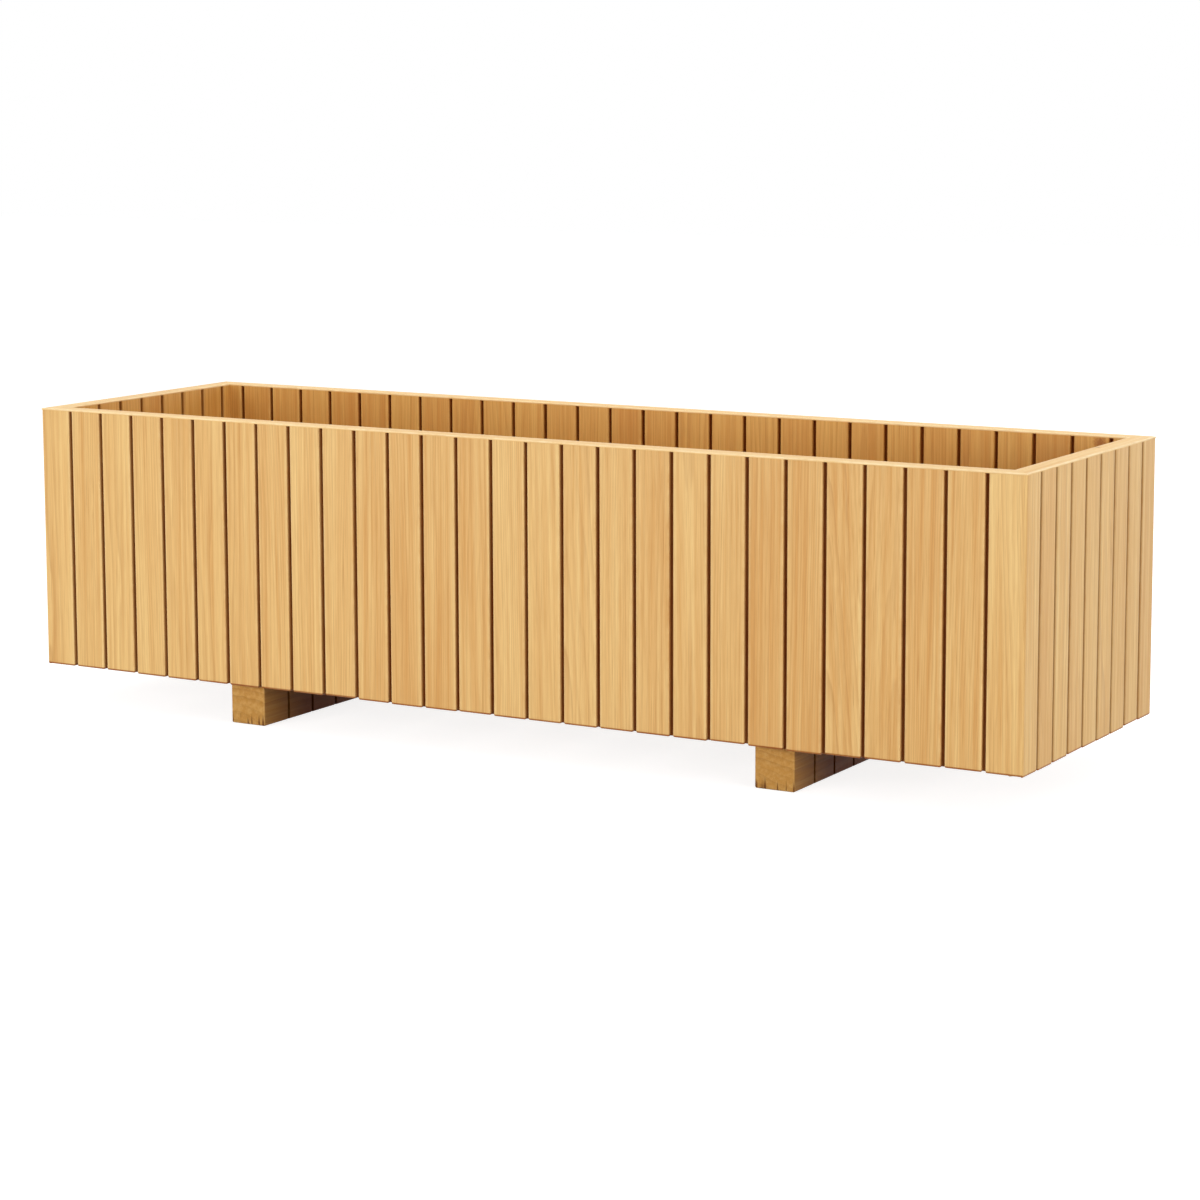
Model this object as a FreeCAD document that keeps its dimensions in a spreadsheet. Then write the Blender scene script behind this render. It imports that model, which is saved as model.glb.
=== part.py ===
import FreeCAD, Part
import os
from collections import namedtuple

import Sketcher

# A long planter box of upright tongue-and-groove slats on two bearers.
# X runs along the box, Y from front to back, Z up. The origin is on the ground under the middle.

# Driving sizes in millimetres, and counts of what repeats
SIZES = {
    # Slats
    "front_slat_face": 39.0,
    "end_slat_face": 35.0,
    "slat_gap": 4.0,
    "slat_thick": 22.0,
    "slat_arris": 1.2,
    "front_slat_count": 28,
    "end_slat_count": 9,
    "corner_ease": 2.0,
    # Tongues of the slats
    "tongue_thick": 8.0,
    "tongue_bite": 6.0,
    # Walls, from the underside of the slats to the top of the rim
    "wall_tall": 295.0,
    # Rim strip with the tongue under it
    "cap_thick": 2.0,
    "cap_arris": 0.8,
    "cap_tongue_wide": 8.0,
    "cap_tongue_deep": 8.0,
    # Loose splines in the corner mitres
    "spline_thick": 4.0,
    "spline_wide": 16.0,
    # Rails and posts of the inner frame
    "rail_thick": 20.0,
    "rail_arris": 1.5,
    "lower_rail_tall": 57.0,
    "middle_rail_tall": 40.0,
    "middle_rail_drop": 110.0,
    "dowel_wide": 8.0,
    "dowel_rail_bite": 20.0,
    "dowel_post_bite": 10.0,
    "dowel_ease": 1.0,
    # Heights of the dowels, as shares of the rail's height
    "long_dowel_share": 0.25,
    "end_dowel_share": 0.75,
    # Floor
    "floor_thick": 18.0,
    "floor_gap": 6.0,
    "floor_side_room": 2.0,
    "floor_arris": 1.5,
    "floor_board_count": 11,
    # Bearers under the box
    "foot_wide": 45.0,
    "foot_tall": 45.0,
    "foot_set_back": 13.0,
    "foot_spacing": 654.0,
    "foot_arris": 2.0,
    "foot_groove_count": 6,
    "foot_groove_deep": 5.0,
    # Screws of walls and floor
    "screw_wide": 4.0,
    "screw_head_wide": 8.0,
    "screw_cover": 12.0,
    "floor_screw_bite": 16.0,
    # Screws of the bearers
    "foot_screw_wide": 6.0,
    "foot_screw_head_wide": 12.0,
    "foot_screw_sink": 15.0,
    "foot_screw_bite": 16.0,
    # Head, point and drive of any screw, as shares of its own width
    "head_rim_share": 0.1,
    "screw_point_share": 1.0,
    "drive_long_share": 1.2,
    "drive_wide_share": 0.3,
    "drive_deep_share": 0.4,
    # Room
    "wood_room": 0.15,
    "hole_room": 0.1,
    "overrun": 5.0,
}

FULL_TURN = 360
QUARTER_TURN = 90
PAIR = "2"
SKETCH_ORIGIN = -1
START = 1
END = 2
CENTRE = 3
SMALLEST = 1e-6

# Sizes worked out from the driving ones, as expressions
SLAT_LONG = "(Sizes.wall_tall - Sizes.cap_thick)"
INNER_FACE = "(Sizes.slat_thick + Sizes.rail_thick)"
RAIL_MIDDLE = "(Sizes.slat_thick + Sizes.rail_thick / 2)"
MIDDLE_RAIL_FOOT = "(Sizes.wall_tall - Sizes.middle_rail_drop - Sizes.middle_rail_tall)"
LOWER_SCREW_HIGH = "(Sizes.lower_rail_tall / 2)"
MIDDLE_SCREW_HIGH = f"({MIDDLE_RAIL_FOOT} + Sizes.middle_rail_tall / 2)"
TONGUE_NEAR = "((Sizes.slat_thick - Sizes.tongue_thick) / 2)"
TONGUE_FAR = "((Sizes.slat_thick + Sizes.tongue_thick) / 2)"
TONGUE_LONG = "(Sizes.slat_gap + Sizes.tongue_bite)"
CAP_TONGUE_NEAR = "((Sizes.slat_thick - Sizes.cap_tongue_wide) / 2)"
CAP_TONGUE_FAR = "((Sizes.slat_thick + Sizes.cap_tongue_wide) / 2)"
FLOOR_FOOT = "(Sizes.foot_tall + Sizes.lower_rail_tall)"


# A row of slats: how many there are and how wide the face of each is
Row = namedtuple("Row", "count face")
LONG_ROW = Row("Sizes.front_slat_count", "Sizes.front_slat_face")
END_ROW = Row("Sizes.end_slat_count", "Sizes.end_slat_face")


def pitch(row):
    """The step from one slat of a row to the next."""
    return f"({row.face} + Sizes.slat_gap)"


def wall_half(row):
    """Half the outer length of a wall with this row of slats."""
    return f"(({row.count} * {pitch(row)} - Sizes.slat_gap) / 2)"


HALF_LONG = wall_half(LONG_ROW)
HALF_DEEP = wall_half(END_ROW)
INNER_HALF_LONG = f"({HALF_LONG} - Sizes.slat_thick)"
INNER_HALF_DEEP = f"({HALF_DEEP} - Sizes.slat_thick)"
RAIL_LINE_DEEP = f"({INNER_HALF_DEEP} - Sizes.rail_thick / 2)"
FLOOR_PITCH = (
    f"((2 * {INNER_HALF_LONG} - 2 * Sizes.floor_side_room + Sizes.floor_gap)"
    " / Sizes.floor_board_count)"
)
FIRST_BOARD = f"({FLOOR_PITCH} * (1 - Sizes.floor_board_count) / 2)"
BOARD_WIDE = f"({FLOOR_PITCH} - Sizes.floor_gap)"
BOARD_HALF_LONG = f"({INNER_HALF_DEEP} - Sizes.floor_side_room)"

# A wall is drawn in its own frame: x to the right as seen from outside, y inwards, z up from the slats' foot.
# left and right name the corners at its ends.
Wall = namedtuple("Wall", "name row angle base_x base_y left right dowel_share side_dowel_share")
WALLS = (
    Wall("front", LONG_ROW, 0, "0", f"-{HALF_DEEP}",
         "front_left", "front_right", "long_dowel_share", "end_dowel_share"),
    Wall("right_end", END_ROW, QUARTER_TURN, HALF_LONG, "0",
         "front_right", "back_right", "end_dowel_share", "long_dowel_share"),
    Wall("back", LONG_ROW, 2 * QUARTER_TURN, "0", HALF_DEEP,
         "back_right", "back_left", "long_dowel_share", "end_dowel_share"),
    Wall("left_end", END_ROW, 3 * QUARTER_TURN, f"-{HALF_LONG}", "0",
         "back_left", "front_left", "end_dowel_share", "long_dowel_share"),
)

# A screw's profile: its width, its head's width and its length
Screw = namedtuple("Screw", "wide head long")
SLAT_SCREW = Screw("Sizes.screw_wide", "Sizes.screw_head_wide",
                   f"({INNER_FACE} - Sizes.screw_cover)")
FLOOR_SCREW = Screw("Sizes.screw_wide", "Sizes.screw_head_wide",
                    "(Sizes.floor_thick + Sizes.floor_screw_bite)")
FOOT_SCREW = Screw("Sizes.foot_screw_wide", "Sizes.foot_screw_head_wide",
                   "(Sizes.foot_tall - Sizes.foot_screw_sink + Sizes.foot_screw_bite)")

doc = FreeCAD.newDocument("SlattedPlanter")
sub_parts = []


def make_sheet():
    """The spreadsheet that every sub-part takes its sizes from."""
    sheet = doc.addObject("Spreadsheet::Sheet", "Sizes")
    for row, (name, value) in enumerate(SIZES.items(), start=1):
        sheet.set(f"A{row}", name)
        sheet.set(f"B{row}", str(value))
        sheet.setAlias(f"B{row}", name)
    doc.recompute()


# Bodies, sketches and features


def new_body(label):
    """An empty sub-part. Its label names its file."""
    body = doc.addObject("PartDesign::Body", label)
    body.Label = label
    body.AllowCompound = True
    sub_parts.append(body)
    return body


def place(body, base_x, base_y, base_z, angle=0):
    """Puts the body at a point, turned about the upright."""
    rotation = FreeCAD.Rotation(FreeCAD.Vector(0, 0, 1), angle)
    body.Placement = FreeCAD.Placement(FreeCAD.Vector(), rotation)
    body.setExpression("Placement.Base.x", base_x)
    body.setExpression("Placement.Base.y", base_y)
    body.setExpression("Placement.Base.z", base_z)


def place_on_wall(body, wall):
    """Puts a body that was drawn in a wall's frame on that wall."""
    place(body, wall.base_x, wall.base_y, "Sizes.foot_tall", wall.angle)


def origin_part(body, role):
    """The body's own origin plane or axis."""
    return next(part for part in body.Origin.OriginFeatures if part.Role == role)


def new_sketch(body, name, role, along_x=None, away=None):
    """A sketch on an origin plane, shifted along its own x and along its normal."""
    sketch = body.newObject("Sketcher::SketchObject", name)
    sketch.AttachmentSupport = [(origin_part(body, role), "")]
    sketch.MapMode = "FlatFace"
    if along_x:
        sketch.setExpression("AttachmentOffset.Base.x", along_x)
    if away:
        sketch.setExpression("AttachmentOffset.Base.z", away)
    return sketch


def tie(sketch, kind, geometry, point, text):
    """Ties one coordinate of a point to an expression."""
    value = sketch.evalExpression(text)
    constraint = Sketcher.Constraint(kind, SKETCH_ORIGIN, START, geometry, point, value)
    index = sketch.addConstraint(constraint)
    sketch.setExpression(f"Constraints[{index}]", text)


def outline(sketch, corners):
    """A closed polygon through corners, each a pair of expressions."""
    first = sketch.GeometryCount
    count = len(corners)
    places = []
    for x, y in corners:
        places.append(FreeCAD.Vector(sketch.evalExpression(x), sketch.evalExpression(y), 0))
    for k in range(count):
        sketch.addGeometry(Part.LineSegment(places[k], places[(k + 1) % count]))
    for k in range(count):
        follower = first + (k + 1) % count
        sketch.addConstraint(Sketcher.Constraint("Coincident", first + k, END, follower, START))
    for k, (x, y) in enumerate(corners):
        tie(sketch, "DistanceX", first + k, START, x)
        tie(sketch, "DistanceY", first + k, START, y)


def rectangle(sketch, left, right, low, high):
    """A rectangle between four expressions."""
    outline(sketch, [(left, low), (right, low), (right, high), (left, high)])


def circle(sketch, x, y, wide):
    """A circle of a given width about a point."""
    centre = FreeCAD.Vector(sketch.evalExpression(x), sketch.evalExpression(y), 0)
    radius = sketch.evalExpression(wide) / 2
    ring = sketch.addGeometry(Part.Circle(centre, FreeCAD.Vector(0, 0, 1), radius))
    tie(sketch, "DistanceX", ring, CENTRE, x)
    tie(sketch, "DistanceY", ring, CENTRE, y)
    index = sketch.addConstraint(Sketcher.Constraint("Diameter", ring, radius * 2))
    sketch.setExpression(f"Constraints[{index}]", wide)


def extrude(body, kind, name, sketch, length, flip=False):
    """A Pad or a Pocket of a sketch."""
    feature = body.newObject(f"PartDesign::{kind}", name)
    feature.Profile = sketch
    feature.Reversed = flip
    feature.setExpression("Length", length)
    return feature


def turn(body, kind, name, sketch):
    """A Revolution or a Groove of a sketch about its own upright axis."""
    feature = body.newObject(f"PartDesign::{kind}", name)
    feature.Profile = sketch
    feature.ReferenceAxis = (sketch, ["V_Axis"])
    feature.Angle = FULL_TURN
    return feature


def repeat(body, name, role, count, spacing, originals=()):
    """Repeats features along an origin axis, or the whole body where none are named."""
    doc.recompute()
    pattern = body.newObject("PartDesign::LinearPattern", name)
    if originals:
        pattern.Originals = list(originals)
    else:
        pattern.TransformMode = "Whole shape"
    pattern.Direction = (origin_part(body, role), [""])
    pattern.Mode = "Spacing"
    pattern.setExpression("Occurrences", count)
    pattern.setExpression("Offset", spacing)
    body.Tip = pattern
    return pattern


def edges_where(feature, test):
    """Names of the straight edges whose two end points both pass a test."""
    doc.recompute()
    names = []
    for number, edge in enumerate(feature.Shape.Edges, start=1):
        ends = [vertex.Point for vertex in edge.Vertexes]
        if len(ends) == 2 and all(test(point) for point in ends):
            names.append(f"Edge{number}")
    return names


def ease(body, name, feature, edges, size):
    """Rounds edges to a radius."""
    fillet = body.newObject("PartDesign::Fillet", name)
    fillet.Base = (feature, edges)
    fillet.setExpression("Radius", size)
    return fillet


def near(value, target):
    """Whether two lengths are the same but for rounding."""
    return abs(value - target) < SMALLEST


# Screws and the holes that they sit in


def screw_profile(screw, head, way, room="0", above="0"):
    """Half a countersunk screw: its head at a height, its point up (way 1) or down (way -1)."""
    rim = f"({screw.wide} * Sizes.head_rim_share)"
    cone = f"(({screw.head} - {screw.wide}) / 2)"
    point = f"({screw.wide} * Sizes.screw_point_share)"
    head_radius = f"({screw.head} / 2 + {room})"
    radius = f"({screw.wide} / 2 + {room})"
    return [
        ("0", f"{head} - {way} * {above}"),
        (head_radius, f"{head} - {way} * {above}"),
        (head_radius, f"{head} + {way} * {rim}"),
        (radius, f"{head} + {way} * ({rim} + {cone})"),
        (radius, f"{head} + {way} * ({screw.long} - {point} + {room})"),
        ("0", f"{head} + {way} * ({screw.long} + {room})"),
    ]


def screw_hole(body, name, screw, role, along_x, away, head, way, above="Sizes.overrun"):
    """Cuts the room that a screw takes, with the way to its head."""
    sketch = new_sketch(body, f"{name}Profile", role, along_x, away)
    outline(sketch, screw_profile(screw, head, way, "Sizes.hole_room", above))
    return turn(body, "Groove", name, sketch)


def cross_recess(body, screw, role, x, y, away, flip):
    """The cross-shaped drive in a screw's head, square to an origin plane."""
    half_long = f"({screw.wide} * Sizes.drive_long_share / 2)"
    half_wide = f"({screw.wide} * Sizes.drive_wide_share / 2)"
    arms = [
        (f"-{half_long}", f"-{half_wide}"), (f"-{half_wide}", f"-{half_wide}"),
        (f"-{half_wide}", f"-{half_long}"), (half_wide, f"-{half_long}"),
        (half_wide, f"-{half_wide}"), (half_long, f"-{half_wide}"),
        (half_long, half_wide), (half_wide, half_wide),
        (half_wide, half_long), (f"-{half_wide}", half_long),
        (f"-{half_wide}", half_wide), (f"-{half_long}", half_wide),
    ]
    sketch = new_sketch(body, "DriveOutline", role, None, away)
    outline(sketch, [(f"{x} + {arm_x}", f"{y} + {arm_y}") for arm_x, arm_y in arms])
    deep = f"{screw.wide} * Sizes.drive_deep_share"
    return extrude(body, "Pocket", "Drive", sketch, deep, flip)


# Slats


def tongue_edge(x):
    """The right edge of a slat's section, with its tongue."""
    tip = f"{x} + {TONGUE_LONG}"
    return [
        (x, "0"), (x, TONGUE_NEAR), (tip, TONGUE_NEAR),
        (tip, TONGUE_FAR), (x, TONGUE_FAR), (x, "Sizes.slat_thick"),
    ]


def groove_edge(x):
    """The left edge of a slat's section, with the groove for its neighbour's tongue."""
    bottom = f"{x} + Sizes.tongue_bite + Sizes.wood_room"
    near_side = f"{TONGUE_NEAR} - Sizes.wood_room"
    far_side = f"{TONGUE_FAR} + Sizes.wood_room"
    return [
        (x, "Sizes.slat_thick"), (x, far_side), (bottom, far_side),
        (bottom, near_side), (x, near_side), (x, "0"),
    ]


def mitre_edge(half, side):
    """The mitred edge of a wall's end, from outside inwards. side is 1 on the right, -1 on the left."""
    return [
        (f"{side} * ({half} - Sizes.corner_ease)", "0"),
        (f"{side} * ({half} - Sizes.corner_ease / 2)", "Sizes.corner_ease / 2"),
        (f"{side} * ({half} - Sizes.slat_thick)", "Sizes.slat_thick"),
    ]


def slat_blank(body, section):
    """A slat's section raised to its height."""
    sketch = new_sketch(body, "Section", "XY_Plane")
    outline(sketch, section)
    return extrude(body, "Pad", "Blank", sketch, SLAT_LONG)


def ease_slat(body, blank, edge_xs):
    """Rounds the upright edges of a slat's two faces at the given x."""
    thick = body.evalExpression("Sizes.slat_thick")
    names = []
    for x in map(body.evalExpression, edge_xs):
        for y in (0, thick):
            names += edges_where(blank, lambda p: near(p.x, x) and near(p.y, y))
    return ease(body, "Arris", blank, names, "Sizes.slat_arris")


def cap_slot(body, left, right):
    """The slot in a slat's top for the rim strip's tongue."""
    sketch = new_sketch(body, "CapSlotOutline", "XY_Plane", None, SLAT_LONG)
    rectangle(sketch, f"{left} - Sizes.overrun", f"{right} + Sizes.overrun",
              f"{CAP_TONGUE_NEAR} - Sizes.wood_room", f"{CAP_TONGUE_FAR} + Sizes.wood_room")
    return extrude(body, "Pocket", "CapSlot", sketch, "Sizes.cap_tongue_deep + Sizes.wood_room")


def first_slat(wall):
    """The middle of the first slat after a wall's left corner slat."""
    return f"({pitch(wall.row)} * (1 - ({wall.row.count} - 1) / 2))"


def slat_row(wall):
    """A wall's slats between its two corner slats, each a solid of its own."""
    body = new_body(f"{wall.name}_slats")
    middle = first_slat(wall)
    left = f"({middle} - {wall.row.face} / 2)"
    right = f"({middle} + {wall.row.face} / 2)"
    blank = slat_blank(body, tongue_edge(right) + groove_edge(left))
    ease_slat(body, blank, [left, right])
    cap_slot(body, left, f"{right} + {TONGUE_LONG}")
    for name, high in (("LowerScrewHole", LOWER_SCREW_HIGH), ("MiddleScrewHole", MIDDLE_SCREW_HIGH)):
        screw_hole(body, name, SLAT_SCREW, "XY_Plane", middle, high, INNER_FACE, -1)
    repeat(body, "Row", "X_Axis", f"{wall.row.count} - 2", pitch(wall.row))
    place_on_wall(body, wall)


def spline_section(half, side, room, back):
    """A spline's section across the mitre, from a distance behind it to its edge in this wall's slat."""
    reach = f"((Sizes.spline_wide / 2 + {room}) / sqrt(2))"
    behind = f"({back} / sqrt(2))"
    wing = f"((Sizes.spline_thick / 2 + {room}) / sqrt(2))"
    centre = "Sizes.slat_thick / 2"
    corners = []
    for into, along in ((reach, f"-{wing}"), (reach, wing), (f"-{behind}", wing), (f"-{behind}", f"-{wing}")):
        x = f"{side} * ({half} - {centre} - {into} - {along})"
        y = f"{centre} - {into} + {along}"
        corners.append((x, y))
    return corners


def corner_slat(wall, side):
    """The mitred slat at one end of a wall, slotted for the corner's spline."""
    corner = wall.right if side > 0 else wall.left
    half = wall_half(wall.row)
    body = new_body(f"{wall.name}_slat_at_{corner}")
    mitre = mitre_edge(half, side)
    if side > 0:
        inner = f"({half} - {wall.row.face})"
        blank = slat_blank(body, mitre + groove_edge(inner))
        ease_slat(body, blank, [inner])
        cap_slot(body, inner, half)
    else:
        inner = f"(-{half} + {wall.row.face})"
        blank = slat_blank(body, tongue_edge(inner) + mitre[::-1])
        ease_slat(body, blank, [inner])
        cap_slot(body, f"-{half}", f"{inner} + {TONGUE_LONG}")
    sketch = new_sketch(body, "SplineSlotOutline", "XY_Plane", None, SLAT_LONG)
    outline(sketch, spline_section(half, side, "Sizes.wood_room", "Sizes.overrun"))
    extrude(body, "Pocket", "SplineSlot", sketch, f"{SLAT_LONG} + Sizes.overrun")
    place_on_wall(body, wall)


def spline(wall):
    """The loose spline in the mitre at a wall's left end."""
    body = new_body(f"{wall.left}_spline")
    sketch = new_sketch(body, "Section", "XY_Plane")
    outline(sketch, spline_section(wall_half(wall.row), -1, "0", "Sizes.spline_wide / 2"))
    extrude(body, "Pad", "Blank", sketch,
            f"{SLAT_LONG} - Sizes.cap_tongue_deep - 2 * Sizes.wood_room")
    place_on_wall(body, wall)


def rim_cap(wall):
    """The strip along the top of a wall, with a tongue in the slats' slots and mitred ends."""
    body = new_body(f"{wall.name}_rim_cap")
    half = wall_half(wall.row)
    sketch = new_sketch(body, "StripOutline", "XY_Plane", None, SLAT_LONG)
    outline(sketch, mitre_edge(half, 1) + mitre_edge(half, -1)[::-1])
    strip = extrude(body, "Pad", "Strip", sketch, "Sizes.cap_thick")
    top = body.evalExpression("Sizes.wall_tall")
    outer = body.evalExpression("Sizes.corner_ease / 2")
    inner = body.evalExpression("Sizes.slat_thick")
    edges = edges_where(strip, lambda p: near(p.z, top) and p.y < outer + SMALLEST)
    edges += edges_where(strip, lambda p: near(p.z, top) and near(p.y, inner))
    ease(body, "Arris", strip, edges, "Sizes.cap_arris")
    sketch = new_sketch(body, "TongueOutline", "XY_Plane", None, SLAT_LONG)
    outline(sketch, [
        (f"-({half} - {CAP_TONGUE_NEAR})", CAP_TONGUE_NEAR),
        (f"{half} - {CAP_TONGUE_NEAR}", CAP_TONGUE_NEAR),
        (f"{half} - {CAP_TONGUE_FAR}", CAP_TONGUE_FAR),
        (f"-({half} - {CAP_TONGUE_FAR})", CAP_TONGUE_FAR),
    ])
    extrude(body, "Pad", "Tongue", sketch, "Sizes.cap_tongue_deep", flip=True)
    place_on_wall(body, wall)


def slat_screws(wall):
    """The screws through a wall's two rails, one into each slat from each rail."""
    body = new_body(f"{wall.name}_slat_screws")
    first = first_slat(wall)
    sketch = new_sketch(body, "Profile", "XY_Plane", first, LOWER_SCREW_HIGH)
    outline(sketch, screw_profile(SLAT_SCREW, INNER_FACE, -1))
    turn(body, "Revolution", "Turned", sketch)
    cross_recess(body, SLAT_SCREW, "XZ_Plane", first, LOWER_SCREW_HIGH, f"-{INNER_FACE}", True)
    repeat(body, "Row", "X_Axis", f"{wall.row.count} - 2", pitch(wall.row))
    repeat(body, "Rows", "Z_Axis", PAIR, f"{MIDDLE_SCREW_HIGH} - {LOWER_SCREW_HIGH}")
    place_on_wall(body, wall)


# Inner frame of rails, posts and dowels


def rail_half(wall):
    """Half the length of a wall's rails, which run from post to post."""
    return f"({wall_half(wall.row)} - Sizes.slat_thick - Sizes.rail_thick)"


def rail(wall, kind, underside, tall, screw_high):
    """A rail along the inside of a wall, with holes for its screws and dowels."""
    body = new_body(f"{wall.name}_{kind}_rail")
    half = rail_half(wall)
    sketch = new_sketch(body, "Section", "XY_Plane", None, underside)
    rectangle(sketch, f"-{half}", half, "Sizes.slat_thick", INNER_FACE)
    blank = extrude(body, "Pad", "Blank", sketch, tall)
    face = body.evalExpression(INNER_FACE)
    edges = edges_where(blank, lambda p: near(p.y, face))
    long_edges = [name for name in edges if blank.getSubObject(name).Length > body.evalExpression(half)]
    ease(body, "Arris", blank, long_edges, "Sizes.rail_arris")
    hole = screw_hole(body, "ScrewHole", SLAT_SCREW, "XY_Plane", first_slat(wall), screw_high,
                      INNER_FACE, -1)
    repeat(body, "ScrewHoles", "X_Axis", f"{wall.row.count} - 2", pitch(wall.row), [hole])
    dowel_high = f"{underside} + {tall} * Sizes.{wall.dowel_share}"
    for name, away, flip in (("LeftDowelHole", f"-{half}", True), ("RightDowelHole", half, False)):
        sketch = new_sketch(body, f"{name}Outline", "YZ_Plane", None, away)
        circle(sketch, RAIL_MIDDLE, dowel_high, "Sizes.dowel_wide + 2 * Sizes.wood_room")
        extrude(body, "Pocket", name, sketch, "Sizes.dowel_rail_bite + Sizes.wood_room", flip)
    place_on_wall(body, wall)
    return body


def lower_rail(wall):
    """A wall's lower rail. On the long walls it also takes the floor's and the bearers' screws."""
    body = rail(wall, "lower", "0", "Sizes.lower_rail_tall", LOWER_SCREW_HIGH)
    if wall.row != LONG_ROW:
        return
    head = "Sizes.lower_rail_tall + Sizes.floor_thick"
    hole = screw_hole(body, "FloorScrewHole", FLOOR_SCREW, "XZ_Plane", FIRST_BOARD, f"-{RAIL_MIDDLE}",
                      head, -1)
    repeat(body, "FloorScrewHoles", "X_Axis", "Sizes.floor_board_count", FLOOR_PITCH, [hole])
    head = "(Sizes.foot_screw_sink - Sizes.foot_tall)"
    hole = screw_hole(body, "FootScrewHole", FOOT_SCREW, "XZ_Plane", "-Sizes.foot_spacing / 2",
                      f"-{RAIL_MIDDLE}", head, 1)
    repeat(body, "FootScrewHoles", "X_Axis", PAIR, "Sizes.foot_spacing", [hole])


def post(wall):
    """The post in the corner at a wall's left end, with holes for four dowels."""
    body = new_body(f"{wall.left}_post")
    left = f"-({wall_half(wall.row)} - Sizes.slat_thick)"
    right = f"-{rail_half(wall)}"
    sketch = new_sketch(body, "Section", "XY_Plane")
    rectangle(sketch, left, right, "Sizes.slat_thick", INNER_FACE)
    extrude(body, "Pad", "Blank", sketch, f"{MIDDLE_RAIL_FOOT} + Sizes.middle_rail_tall")
    wide = "Sizes.dowel_wide + 2 * Sizes.wood_room"
    deep = "Sizes.dowel_post_bite + Sizes.wood_room"
    middle_across = f"{left} + Sizes.rail_thick / 2"
    sides = (
        ("DowelHoles", "YZ_Plane", right, RAIL_MIDDLE, wall.dowel_share, False),
        ("SideDowelHoles", "XZ_Plane", f"-{INNER_FACE}", middle_across, wall.side_dowel_share, True),
    )
    for name, role, away, across, share, flip in sides:
        sketch = new_sketch(body, f"{name}Outline", role, None, away)
        circle(sketch, across, f"Sizes.lower_rail_tall * Sizes.{share}", wide)
        circle(sketch, across, f"{MIDDLE_RAIL_FOOT} + Sizes.middle_rail_tall * Sizes.{share}", wide)
        extrude(body, "Pocket", name, sketch, deep, flip)
    place_on_wall(body, wall)


def dowels(wall):
    """The dowels between a wall's two rails and the posts at their ends."""
    body = new_body(f"{wall.name}_rail_dowels")
    half = rail_half(wall)
    low = f"(Sizes.lower_rail_tall * Sizes.{wall.dowel_share})"
    high = f"({MIDDLE_RAIL_FOOT} + Sizes.middle_rail_tall * Sizes.{wall.dowel_share})"
    long = "(Sizes.dowel_rail_bite + Sizes.dowel_post_bite)"
    sketch = new_sketch(body, "Section", "YZ_Plane", None, f"-{half} - Sizes.dowel_post_bite")
    circle(sketch, RAIL_MIDDLE, low, "Sizes.dowel_wide")
    pin = extrude(body, "Pad", "Pin", sketch, long)
    doc.recompute()
    chamfer = body.newObject("PartDesign::Chamfer", "Ends")
    chamfer.Base = (pin, [f"Face{k}" for k, face in enumerate(pin.Shape.Faces, start=1)
                          if isinstance(face.Surface, Part.Plane)])
    chamfer.setExpression("Size", "Sizes.dowel_ease")
    repeat(body, "BothEnds", "X_Axis", PAIR, f"2 * {half} + 2 * Sizes.dowel_post_bite - {long}")
    repeat(body, "BothRails", "Z_Axis", PAIR, f"{high} - {low}")
    place_on_wall(body, wall)


# Floor and bearers


def floor_board(number):
    """One board across the lower rails. The outermost two are notched round the posts."""
    count = SIZES["floor_board_count"]
    body = new_body(f"floor_board_{number + 1:02d}")
    sketch = new_sketch(body, "Section", "XY_Plane")
    half_wide = f"({BOARD_WIDE} / 2)"
    rectangle(sketch, f"-{half_wide}", half_wide, f"-{BOARD_HALF_LONG}", BOARD_HALF_LONG)
    blank = extrude(body, "Pad", "Blank", sketch, "Sizes.floor_thick")
    top = body.evalExpression("Sizes.floor_thick")
    side = body.evalExpression(half_wide)
    edges = edges_where(blank, lambda p: near(p.z, top) and near(p.x, side))
    edges += edges_where(blank, lambda p: near(p.z, top) and near(p.x, -side))
    ease(body, "Arris", blank, edges, "Sizes.floor_arris")
    end_side = {0: -1, count - 1: 1}.get(number)
    if end_side:
        sketch = new_sketch(body, "NotchOutline", "XY_Plane", None, "Sizes.floor_thick")
        for low, high in ((f"{BOARD_HALF_LONG} - Sizes.rail_thick", f"{BOARD_HALF_LONG} + Sizes.overrun"),
                          (f"-{BOARD_HALF_LONG} - Sizes.overrun", f"-{BOARD_HALF_LONG} + Sizes.rail_thick")):
            rectangle(sketch, f"{end_side} * ({half_wide} - Sizes.rail_thick)",
                      f"{end_side} * ({half_wide} + Sizes.overrun)", low, high)
        extrude(body, "Pocket", "Notches", sketch, "Sizes.floor_thick + Sizes.overrun")
    hole = screw_hole(body, "ScrewHole", FLOOR_SCREW, "XZ_Plane", None, RAIL_LINE_DEEP,
                      "Sizes.floor_thick", -1)
    repeat(body, "ScrewHoles", "Y_Axis", PAIR, f"2 * {RAIL_LINE_DEEP}", [hole])
    place(body, f"{FIRST_BOARD} + {FLOOR_PITCH} * {number}", "0", FLOOR_FOOT)


def floor_screws():
    """The screws of the floor boards, one at each end of each board."""
    body = new_body("floor_screws")
    sketch = new_sketch(body, "Profile", "XZ_Plane", FIRST_BOARD, RAIL_LINE_DEEP)
    outline(sketch, screw_profile(FLOOR_SCREW, "Sizes.floor_thick", -1))
    turn(body, "Revolution", "Turned", sketch)
    cross_recess(body, FLOOR_SCREW, "XY_Plane", FIRST_BOARD, f"-{RAIL_LINE_DEEP}", "Sizes.floor_thick", False)
    repeat(body, "Row", "X_Axis", "Sizes.floor_board_count", FLOOR_PITCH)
    repeat(body, "Rows", "Y_Axis", PAIR, f"2 * {RAIL_LINE_DEEP}")
    place(body, "0", "0", FLOOR_FOOT)


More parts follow.
